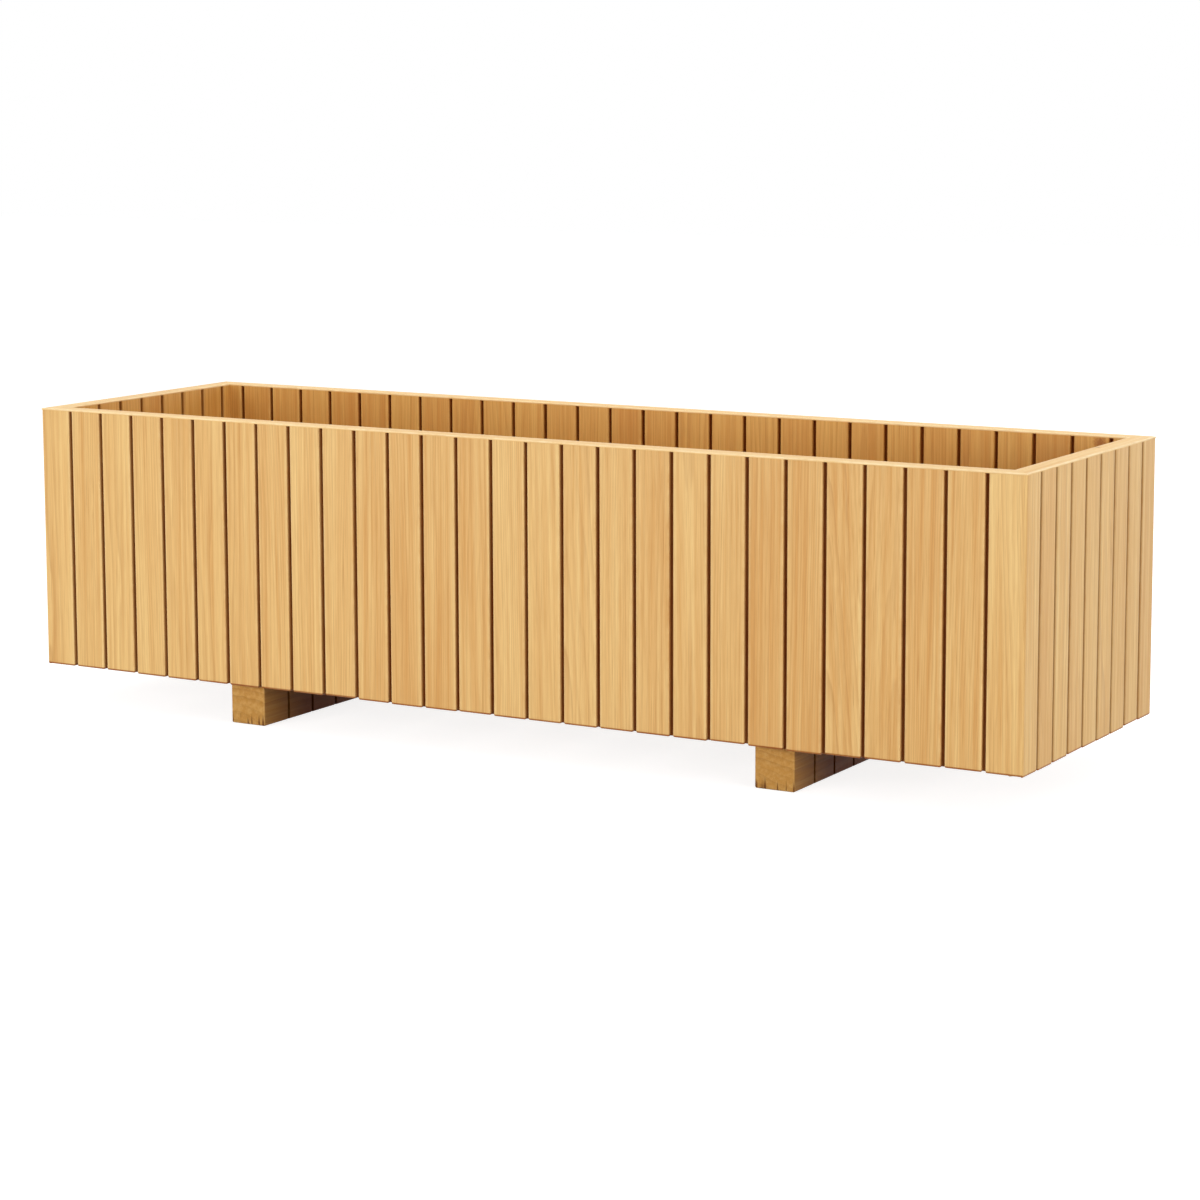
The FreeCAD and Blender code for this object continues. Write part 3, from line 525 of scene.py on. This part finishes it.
def wood_grain_group():
    """Straight-grained softwood: growth rings are the fraction of the distance from the pith over the
    ring width, bent by slow noise; fibres, streaks and patches are noise drawn out along the grain."""
    tree, given, out = new_group(
        "WoodGrain",
        (("Place", "Vector"), ("Tint", "Float"), ("Pale", "Color"), ("Warm", "Color"), ("Line", "Color"),
         ("Ring Width", "Float"), ("Ring Share", "Float"), ("Fibre Share", "Float")),
        (("Color", "Color"), ("Roughness", "Float"), ("Height", "Float")),
    )
    place = given["Place"]
    streak = noise(tree, place, STREAK)
    fibre = noise(tree, place, FIBRE)
    pores = spread(tree, noise(tree, place, PORE), PORE_SEEN)
    away = vector_length(tree, moved(tree, "MULTIPLY", place, (1, 1, 0)))
    bent = sums(tree, "MULTIPLY_ADD", noise(tree, place, DRIFT), DRIFT_BEND, away)
    bent = sums(tree, "MULTIPLY_ADD", noise(tree, place, RIPPLE), RIPPLE_BEND, bent)
    count = sums(tree, "DIVIDE", bent, given["Ring Width"])
    within = sums(tree, "FRACT", count)
    year = sums(tree, "FLOOR", count)
    vigour = add(tree, "ShaderNodeTexWhiteNoise", {"W": year}, noise_dimensions="1D").outputs["Value"]
    late = sums(tree, "POWER", within, LATE_WOOD_POWER)
    ring = sums(tree, "MULTIPLY", late, spread(tree, within, RING_END))
    ring = sums(tree, "MULTIPLY", ring, spread(tree, vigour, RING_VIGOUR))
    tone = sums(tree, "ADD", given["Tint"], spread(tree, noise(tree, place, PATCH), PATCH_TINT))
    tone = sums(tree, "ADD", tone, spread(tree, streak, STREAK_TINT), clamp=True)
    colour = blend(tree, tone, given["Pale"], given["Warm"])
    colour = blend(tree, sums(tree, "MULTIPLY", ring, given["Ring Share"]), colour, given["Line"])
    thread = sums(tree, "MULTIPLY", spread(tree, fibre, FIBRE_SEEN), given["Fibre Share"])
    colour = blend(tree, thread, colour, given["Line"])
    speck = sums(tree, "MULTIPLY", sums(tree, "MULTIPLY", pores, given["Fibre Share"]), PORE_SHARE)
    put(tree, out["Color"], blend(tree, speck, colour, given["Line"]))
    rough = sums(tree, "MULTIPLY", streak, STREAK_ROUGH_SHARE)
    rough = spread(tree, sums(tree, "MULTIPLY_ADD", fibre, FIBRE_ROUGH_SHARE, rough), GRAIN_ROUGH)
    put(tree, out["Roughness"], sums(tree, "MULTIPLY_ADD", ring, RING_ROUGH, rough))
    height = sums(tree, "MULTIPLY_ADD", ring, RING_RISE, fibre)
    put(tree, out["Height"], sums(tree, "MULTIPLY_ADD", pores, PORE_RISE, height))
    return tree


def wear_and_highlight_edge_group():
    """Edges painted paler, partly as rubbed wear and partly as painted highlight: the edge mask broken up
    by noise, and mixed in as a paler, drier colour.
    """
    tree, given, out = new_group(
        "WornEdges",
        (("Color", "Color"), ("Worn", "Float"), ("Point", "Vector"), ("Rubbed", "Color"),
         ("Share", "Float")),
        (("Color", "Color"), ("Mask", "Float")),
    )
    patchy = spread(tree, noise(tree, given["Point"], PALE_EDGE_NOISE), PALE_EDGE_STRENGTH)
    worn = sums(tree, "MULTIPLY", given["Worn"], patchy)
    mask = sums(tree, "MULTIPLY", worn, given["Share"], clamp=True)
    put(tree, out["Mask"], mask)
    put(tree, out["Color"], blend(tree, mask, given["Color"], given["Rubbed"]))
    return tree


def board_edge_group():
    """A mask that rises towards the edges of a plain board: the second largest of the three distances
    from its middle, each counted from where the edge begins."""
    tree, given, out = new_group(
        "BoardEdges",
        (("Point", "Vector"), ("Middle", "Vector"), ("Half", "Vector"), ("Reach", "Float")),
        (("Worn", "Float"),),
    )
    off = moved(tree, "SUBTRACT", given["Point"], given["Middle"])
    out_by = moved(tree, "SUBTRACT", moved(tree, "ABSOLUTE", off, (0, 0, 0)), given["Half"])
    parts = add(tree, "ShaderNodeSeparateXYZ", {0: out_by}).outputs
    top = sums(tree, "MAXIMUM", parts[0], parts[1])
    bottom = sums(tree, "MINIMUM", parts[0], parts[1])
    second = sums(tree, "MAXIMUM", bottom, sums(tree, "MINIMUM", top, parts[2]))
    share = sums(tree, "ADD", sums(tree, "DIVIDE", second, given["Reach"]), 1.0, clamp=True)
    put(tree, out["Worn"], share)
    return tree


GRAIN_GROUP = wood_grain_group()
WEAR_AND_HIGHLIGHT_GROUP = wear_and_highlight_edge_group()
EDGE_GROUP = board_edge_group()

# Woods: their colours, ring width, how strongly rings, fibres and the paler edges (partly wear,
# partly painted highlight) show, bump and shine
Wood = namedtuple("Wood", "pale warm line rubbed ring_width ring_share fibre_share worn_share bump gloss")
SLAT_WOOD = Wood(
    pale=linear(234, 196, 128), warm=linear(212, 158, 88), line=linear(174, 116, 52),
    rubbed=linear(238, 206, 144), ring_width=3.1 * MM, ring_share=0.46, fibre_share=0.27,
    worn_share=0.45, bump=0.3, gloss=0.3,
)
# Paler than the slats: partly its own tone, partly painted top light; its near-white edges are mostly a
# painted highlight
RIM_WOOD = Wood(
    pale=linear(241, 204, 138), warm=linear(228, 181, 110), line=linear(192, 137, 72),
    rubbed=linear(251, 230, 186), ring_width=3.4 * MM, ring_share=0.42, fibre_share=0.23,
    worn_share=0.7, bump=0.3, gloss=0.3,
)
FRAME_WOOD = Wood(
    pale=linear(224, 180, 116), warm=linear(204, 148, 86), line=linear(168, 110, 54),
    rubbed=linear(230, 190, 132), ring_width=3.6 * MM, ring_share=0.5, fibre_share=0.26,
    worn_share=0.5, bump=0, gloss=0.3,
)
BEARER_WOOD = Wood(
    pale=linear(215, 172, 102), warm=linear(192, 140, 69), line=linear(142, 93, 40),
    rubbed=linear(221, 180, 119), ring_width=8.5 * MM, ring_share=0.5, fibre_share=0.2,
    worn_share=0.4, bump=0.4, gloss=0.1,
)
# Bump of None also leaves the roughness plain
JOINT_WOOD = Wood(
    pale=linear(228, 194, 138), warm=linear(214, 170, 108), line=linear(180, 132, 76),
    rubbed=linear(232, 202, 150), ring_width=2.6 * MM, ring_share=0.4, fibre_share=0.24,
    worn_share=0.3, bump=None, gloss=0.3,
)
# Painted shade in the gaps and along the slats' feet
GAP_SHADE = linear(146, 74, 2)
# Painted shade on the slats' inner faces, inside the box
INSIDE_SHADE = (0.90, 0.78, 0.52, 1)
# Painted shade on the bearers' sides under the box
UNDER_BOX_SHADE = (0.23, 0.11, 0.03, 1)
# The knot's own colour, also used for the painted shade of the rim's dent
KNOT_AND_DENT_SHADE = linear(150, 84, 22)
CHECK_SHADE = linear(104, 60, 22)

Mark = namedtuple("Mark", "mask shade")


def dress(tree, shader, wood, place, tint, worn, shelter=None, inside=None, under_box_shade=None, mark=None):
    """The grain and the paler edges, partly wear and partly painted highlight, of one kind of wood, joined
    to the surface shader. Where the masks say so, gaps and slats' feet get painted shade, inner faces get
    painted shade, the bearers' sides get painted shade under the box and marks are darker."""
    point = object_point(tree)
    sockets = {"Place": place, "Tint": tint, "Pale": wood.pale, "Warm": wood.warm, "Line": wood.line,
               "Ring Width": wood.ring_width, "Ring Share": wood.ring_share,
               "Fibre Share": wood.fibre_share}
    grain = add(tree, "ShaderNodeGroup", sockets, node_tree=GRAIN_GROUP)
    sockets = {"Color": grain.outputs["Color"], "Worn": worn, "Point": point, "Rubbed": wood.rubbed,
               "Share": wood.worn_share}
    # Edges painted paler, partly as wear and partly as painted highlight
    rubbed = add(tree, "ShaderNodeGroup", sockets, node_tree=WEAR_AND_HIGHLIGHT_GROUP)
    colour = rubbed.outputs["Color"]
    if shelter:
        # Inner faces get painted shade
        colour = blend(tree, inside, colour, INSIDE_SHADE, "MULTIPLY")
        # Gaps and slats' feet get painted shade, broken up by noise
        shade_breakup = spread(tree, noise(tree, point, GAP_SHADE_NOISE), GAP_SHADE_STRENGTH)
        colour = blend(tree, sums(tree, "MULTIPLY", shelter, shade_breakup), colour, GAP_SHADE)
    # The bearers' sides get painted shade under the box, darker away from their ends
    if under_box_shade:
        colour = blend(tree, under_box_shade, colour, UNDER_BOX_SHADE, "MULTIPLY")
    if mark:
        colour = blend(tree, mark.mask, colour, mark.shade)
    put(tree, shader.inputs["Base Color"], colour)
    shader.inputs["Specular IOR Level"].default_value = wood.gloss
    shader.inputs["Roughness"].default_value = PLAIN_ROUGH
    if wood.bump is not None:
        rough = grain.outputs["Roughness"]
        rough = sums(tree, "MULTIPLY_ADD", rubbed.outputs["Mask"], RUBBED_ROUGH, rough)
        put(tree, shader.inputs["Roughness"], rough)
    if wood.bump:
        sockets = {"Height": grain.outputs["Height"], "Strength": wood.bump, "Distance": BUMP_DEEP}
        put(tree, shader.inputs["Normal"], add(tree, "ShaderNodeBump", sockets).outputs["Normal"])


# Marks are whole up to one share of their reach, and gone at the other
MARK_WHOLE_SHARE = 0.7
MARK_GONE_SHARE = 1.3
MARK_STRENGTH = 0.75


def mark_mask(tree, middle, reach):
    """A small ragged mark: strongest at its middle, gone at its reach, with the distance bent by noise."""
    point = object_point(tree)
    off = vector_length(tree, moved(tree, "SUBTRACT", point, middle))
    ragged = sums(tree, "MULTIPLY_ADD", noise(tree, point, RAGGED), reach, off)
    fading = Span(MARK_WHOLE_SHARE * reach, MARK_GONE_SHARE * reach, MARK_STRENGTH, 0.0)
    return spread(tree, ragged, fading)


def made_board_material(name, wood, mark_middle, mark_reach):
    """Wood for the boards made here, which carry their place in the log, paler edges (partly wear, partly
    painted highlight), painted shade and tint.
    """
    material, tree, shader = new_material(name)
    place = attribute(tree, "log_place")["Vector"]
    tint = attribute(tree, "board_tint")["Fac"]
    worn = attribute(tree, "worn")["Fac"]
    shelter = attribute(tree, "shelter")["Fac"]
    inside = attribute(tree, "inside")["Fac"]
    mark = Mark(mark_mask(tree, mark_middle, mark_reach), KNOT_AND_DENT_SHADE)
    dress(tree, shader, wood, place, tint, worn, shelter, inside, mark=mark)
    return material


def side_shade_and_checks(tree, point):
    """Painted shade and drying checks of a bearer along Y: its sides get painted shade under the box,
    darker with the distance from its ends, and on the end grain thin checks, noise drawn out upwards,
    rise from the bottom edge."""
    off = moved(tree, "SUBTRACT", point, attribute(tree, "board_middle", "OBJECT")["Vector"])
    in_by = moved(tree, "SUBTRACT", attribute(tree, "board_half", "OBJECT")["Vector"],
                  moved(tree, "ABSOLUTE", off, (0, 0, 0)))
    from_end = add(tree, "ShaderNodeSeparateXYZ", {0: in_by}).outputs["Y"]
    high = add(tree, "ShaderNodeSeparateXYZ", {0: point}).outputs["Z"]
    end_grain = spread(tree, from_end, END_GRAIN)
    side = sums(tree, "SUBTRACT", 1.0, end_grain)
    under_box_shade = sums(tree, "MULTIPLY", spread(tree, from_end, UNDER_BOX_SHADE_FROM_END), side)
    split = spread(tree, noise(tree, point, SPLIT), SPLIT_SEEN)
    low_split = sums(tree, "MULTIPLY", split, spread(tree, high, CHECK_HIGH))
    return under_box_shade, Mark(sums(tree, "MULTIPLY", end_grain, low_split), CHECK_SHADE)


GRAIN_TURNS = {"x": (0, math.pi / 2, 0), "y": (math.pi / 2, 0, 0), "z": (0, 0, 0)}


def cad_board_material(name, wood, axis, shade_and_checks=False):
    """Wood for boards kept from the frame: the grain runs along one axis, each board has its own place
    in the log, and its edges are found from its box."""
    material, tree, shader = new_material(name)
    point = object_point(tree)
    turned = add(tree, "ShaderNodeMapping", {"Vector": point, "Rotation": GRAIN_TURNS[axis]})
    place = moved(tree, "ADD", turned.outputs["Vector"], attribute(tree, "log_shift", "OBJECT")["Vector"])
    sockets = {"Point": point, "Middle": attribute(tree, "board_middle", "OBJECT")["Vector"],
               "Half": attribute(tree, "board_half", "OBJECT")["Vector"], "Reach": WORN_REACH}
    edges = add(tree, "ShaderNodeGroup", sockets, node_tree=EDGE_GROUP)
    tint = attribute(tree, "board_tint", "OBJECT")["Fac"]
    under_box_shade, mark = side_shade_and_checks(tree, point) if shade_and_checks else (None, None)
    dress(tree, shader, wood, place, tint, edges.outputs["Worn"], under_box_shade=under_box_shade, mark=mark)
    return material


ZINC_BRIGHT = linear(214, 208, 190)
ZINC_DULL = linear(178, 172, 160)
ZINC_ROUGH = 0.38
DRAWN_SHARE = 0.4
MOTTLE_SHARE = 0.6


def zinc_material(name):
    """Zinc-plated steel: a yellowish grey that mottles with noise, and drawn marks around the shank."""
    material, tree, shader = new_material(name)
    point = object_point(tree)
    mottle = sums(tree, "MULTIPLY", noise(tree, point, MOTTLE), MOTTLE_SHARE)
    tone = sums(tree, "MULTIPLY_ADD", noise(tree, point, DRAWN), DRAWN_SHARE, mottle)
    colour = blend(tree, spread(tree, tone, ZINC_TONE), ZINC_BRIGHT, ZINC_DULL)
    put(tree, shader.inputs["Base Color"], colour)
    shader.inputs["Metallic"].default_value = 1.0
    shader.inputs["Roughness"].default_value = ZINC_ROUGH
    return material


# A knot on the inside of the back wall, and a small dark spot on the right rim: painted shade standing in
# for a dent
KNOT_MIDDLE = (0.547, 0.1515, 0.333)
KNOT_REACH = 11 * MM
DENT_SHADE_MIDDLE = (0.582, 0.055, 0.340)
DENT_SHADE_REACH = 5 * MM
slat_wood = made_board_material("slat_wood", SLAT_WOOD, KNOT_MIDDLE, KNOT_REACH)
rim_wood = made_board_material("rim_wood", RIM_WOOD, DENT_SHADE_MIDDLE, DENT_SHADE_REACH)
frame_wood = {axis: cad_board_material("frame_wood_" + axis, FRAME_WOOD, axis) for axis in "xyz"}
joint_wood = {axis: cad_board_material("joint_wood_" + axis, JOINT_WOOD, axis) for axis in "xyz"}
bearer_wood = cad_board_material("bearer_wood", BEARER_WOOD, "y", shade_and_checks=True)
zinc = zinc_material("zinc_screws")

# Walls: two slats to a piece, the mitred slats and the rim strips by themselves
SLATS_PER_PIECE = 2
FIRST_MIDDLE_SLAT = 2

# How much warmer, or paler, some front slats are than their log's tint, by number from the left
FRONT_TINTS = {
    **dict.fromkeys((10, 11, 12, 21, 22, 25), 0.3),
    **dict.fromkeys((5, 6, 7, 14, 19), 0.15),
    **dict.fromkeys((8, 15), -0.15),
}
# Front slats cut near the pith, whose rings show as long arches
FLAT_SAWN_FRONT_SLATS = {
    23: Log(angle=0.0, pith=(0.012, 0.046), taper=(0.028, 0.032), start=3.2, tint=0.60),
    24: Log(angle=0.0, pith=(-0.022, 0.060), taper=(-0.010, 0.020), start=6.1, tint=0.66),
}


def middle_slat(wall, number):
    """A slat with a tongue and a groove, by chance a little narrower or further in than others."""
    row = wall.row
    outline = slat_outline(row.face, *rng.uniform(0, EDGE_UNEVEN, 2), rng.uniform(0, FACE_UNEVEN))
    log, uneven = any_log(), rng.uniform(0, FOOT_UNEVEN)
    if wall.name == "front":
        log = log._replace(tint=log.tint + FRONT_TINTS.get(number, 0))
        log = FLAT_SAWN_FRONT_SLATS.get(number, log)
    return upright_board(outline, wall, slat_left(row, number), log, uneven)


def corner_slat(wall, number, side):
    """The mitred slat at a wall's right end (side 1) or left end (side -1)."""
    outline = corner_outline(wall.row.face, side, rng.uniform(0, EDGE_UNEVEN))
    log, uneven = any_log(), rng.uniform(0, FOOT_UNEVEN)
    return upright_board(outline, wall, slat_left(wall.row, number), log, uneven, side > 0, side < 0)


for wall in WALLS:
    last = wall.row.count - 1
    made = [middle_slat(wall, number) for number in range(1, last)]
    for first in range(0, len(made), SLATS_PER_PIECE):
        boards = made[first:first + SLATS_PER_PIECE]
        name = f"{wall.name}_slats_{first + FIRST_MIDDLE_SLAT:02d}"
        piece(name, boards, (f"{wall.name}_slats",), slat_wood)
    for side, number, corner in ((-1, 0, wall.left), (1, last, wall.right)):
        node = f"{wall.name}_slat_at_{corner}"
        piece(f"{node}_dressed", [corner_slat(wall, number, side)], (node,), slat_wood)
    node = f"{wall.name}_rim_cap"
    piece(f"{wall.name}_rim_strip", [rim_board(wall, any_log())], (node,), rim_wood)


# Boards and screws kept from the frame

LOG_SHIFT_LEAST = (0.1, 0.1, 0)
LOG_SHIFT_MOST = (0.5, 0.5, TRUNK_LONG)
KEPT_TINTS = (0.1, 0.9)
REPLACED = ("slats", "rim_cap")
PITH_ASIDE = 18 * MM
PITH_BELOW = 75 * MM


def grain_axis(node):
    """The longest side of a node's box, which its grain follows."""
    low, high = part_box(node)
    return "xyz"[int(np.argmax(np.array(high) - np.array(low)))]


def clothe(node, material):
    """Gives a node its material, its place in a log and the box that its edges are found from."""
    low, high = (np.array(corner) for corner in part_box(node))
    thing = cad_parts[node]
    thing["board_middle"] = ((low + high) / 2).tolist()
    thing["board_half"] = ((high - low) / 2).tolist()
    thing["log_shift"] = rng.uniform(LOG_SHIFT_LEAST, LOG_SHIFT_MOST).tolist()
    thing["board_tint"] = float(rng.uniform(*KEPT_TINTS))
    thing.data.materials.clear()
    thing.data.materials.append(material)


for node in sorted(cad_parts):
    if node.endswith("screws"):
        clothe(node, zinc)
    elif node.endswith("spline") or node.endswith("dowels"):
        clothe(node, joint_wood["z" if node.endswith("spline") else "x"])
    elif node.endswith("foot"):
        clothe(node, bearer_wood)
        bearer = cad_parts[node]
        bearer["log_shift"] = (PITH_ASIDE - bearer["board_middle"][0], -PITH_BELOW, bearer["log_shift"][2])
    elif not (node.endswith(REPLACED) or "_slat_at_" in node):
        clothe(node, frame_wood[grain_axis(node)])


# Floor, lights and camera

FLOOR_DARK = (0.44, 0.44, 0.44, 1)
FLOOR_PALE = (0.47, 0.47, 0.47, 1)
FLOOR_ROUGH = 0.9
FLOOR_GLOSS = 0.1
FLOOR_LIFT = 0.83
FLOOR_HALF = 9.0
FLOOR_DROP = 0.3 * MM
WHITE = (1, 1, 1, 1)
AMBIENT = 0.34


def seen_directly(tree):
    """One where the camera, a reflection or a pane looks, nothing for other light."""
    path = add(tree, "ShaderNodeLightPath").outputs
    mirrored = sums(tree, "MAXIMUM", path["Is Glossy Ray"], path["Is Transmission Ray"])
    return sums(tree, "MAXIMUM", path["Is Camera Ray"], mirrored)


def floor_material():
    """A pale floor that takes the shadow and, to the camera, is lifted to white where it is lit."""
    material, tree, shader = new_material("studio_floor")
    tone = spread(tree, noise(tree, object_point(tree), CLOUD), FLOOR_TONE)
    put(tree, shader.inputs["Base Color"], blend(tree, tone, FLOOR_DARK, FLOOR_PALE))
    shader.inputs["Roughness"].default_value = FLOOR_ROUGH
    shader.inputs["Specular IOR Level"].default_value = FLOOR_GLOSS
    strength = sums(tree, "MULTIPLY", seen_directly(tree), FLOOR_LIFT)
    lift = add(tree, "ShaderNodeEmission", {"Color": WHITE, "Strength": strength})
    both = add(tree, "ShaderNodeAddShader", {0: shader.outputs[0], 1: lift.outputs[0]})
    put(tree, tree.nodes["Material Output"].inputs["Surface"], both.outputs[0])
    return material


mesh = bpy.data.meshes.new("studio_floor")
steps = np.array((-FLOOR_HALF, 0, FLOOR_HALF))
east, north = np.meshgrid(steps, steps)
ground = np.stack((east, north, 0 * east - FLOOR_DROP), -1).reshape(-1, 3)
mesh.from_pydata(ground.tolist(), [], [(0, 1, 4, 3), (1, 2, 5, 4), (3, 4, 7, 6), (4, 5, 8, 7)])
mesh.materials.append(floor_material())
floor = bpy.data.objects.new("studio_floor", mesh)
bpy.context.scene.collection.objects.link(floor)

world = bpy.data.worlds.new("studio")
bpy.context.scene.world = world
world.use_nodes = True
sky_tree = world.node_tree
sky = sky_tree.nodes["Background"]
sky.inputs["Color"].default_value = WHITE
SKY_STRENGTH = Span(0.0, 1.0, AMBIENT, 1.0)
put(sky_tree, sky.inputs["Strength"], spread(sky_tree, seen_directly(sky_tree), SKY_STRENGTH))


def facing(place, right, back):
    """A frame at a place, with its X axis to the right and its Z axis backwards."""
    rows = np.eye(4)
    rows[:3, :3] = np.stack((right, np.cross(back, right), back), 1)
    rows[:3, 3] = place
    return Matrix(rows.tolist())


def softbox(lamp):
    """A large lamp that faces its target, with its long side level."""
    light = bpy.data.lights.new(lamp.name, "AREA")
    light.shape = "RECTANGLE"
    light.size, light.size_y = lamp.size
    light.energy = lamp.watts
    back = np.array(lamp.place, float) - np.array(lamp.target, float)
    back /= np.linalg.norm(back)
    right = np.cross((0, 0, 1), back)
    right /= np.linalg.norm(right)
    thing = bpy.data.objects.new(lamp.name, light)
    thing.matrix_world = facing(lamp.place, right, back)
    bpy.context.scene.collection.objects.link(thing)


Lamp = namedtuple("Lamp", "name place target size watts")
LAMPS = (
    Lamp("top_light", (-0.1, 0.3, 2.4), (0, 0, 0.2), (2.6, 1.4), 33),
    Lamp("front_left_light", (-1.0, -3.0, 0.75), (0, 0, 0.2), (2.0, 1.2), 54.5),
    Lamp("right_light", (3.1, -1.2, 0.75), (0.2, 0, 0.2), (1.8, 1.2), 44),
    Lamp("back_light", (0.8, 3.0, 0.8), (0, 0, 0.2), (2.2, 1.2), 30),
    Lamp("left_light", (-3.1, 0.6, 0.75), (-0.2, 0, 0.2), (1.8, 1.2), 20),
)
for lamp in LAMPS:
    softbox(lamp)

# Camera, fitted to the slats' gaps, the rim and the feet in the photograph
CAMERA_AROUND = math.radians(30.132)
CAMERA_UP = math.radians(7.492)
CAMERA_ROLL = math.radians(-0.15)
CAMERA_AWAY = 3.4295
CAMERA_AIM = np.array((0.0319, 0, 0.2779))
CAMERA_LENS = 94.82
CAMERA_SENSOR = 36
CAMERA_SHIFT = -0.10

level = np.array((math.cos(CAMERA_AROUND), math.sin(CAMERA_AROUND), 0))
ahead = np.array((-math.sin(CAMERA_AROUND), math.cos(CAMERA_AROUND), 0))
back = np.array((0, 0, math.sin(CAMERA_UP))) - ahead * math.cos(CAMERA_UP)
right = level * math.cos(CAMERA_ROLL) + np.cross(back, level) * math.sin(CAMERA_ROLL)
view = bpy.data.cameras.new("photo_view")
view.sensor_width = CAMERA_SENSOR
view.lens = CAMERA_LENS
view.shift_y = CAMERA_SHIFT
camera = bpy.data.objects.new("photo_view", view)
camera.matrix_world = facing(CAMERA_AIM + back * CAMERA_AWAY, right, back)
bpy.context.scene.collection.objects.link(camera)
bpy.context.scene.camera = camera
bpy.context.scene.view_settings.view_transform = "Standard"
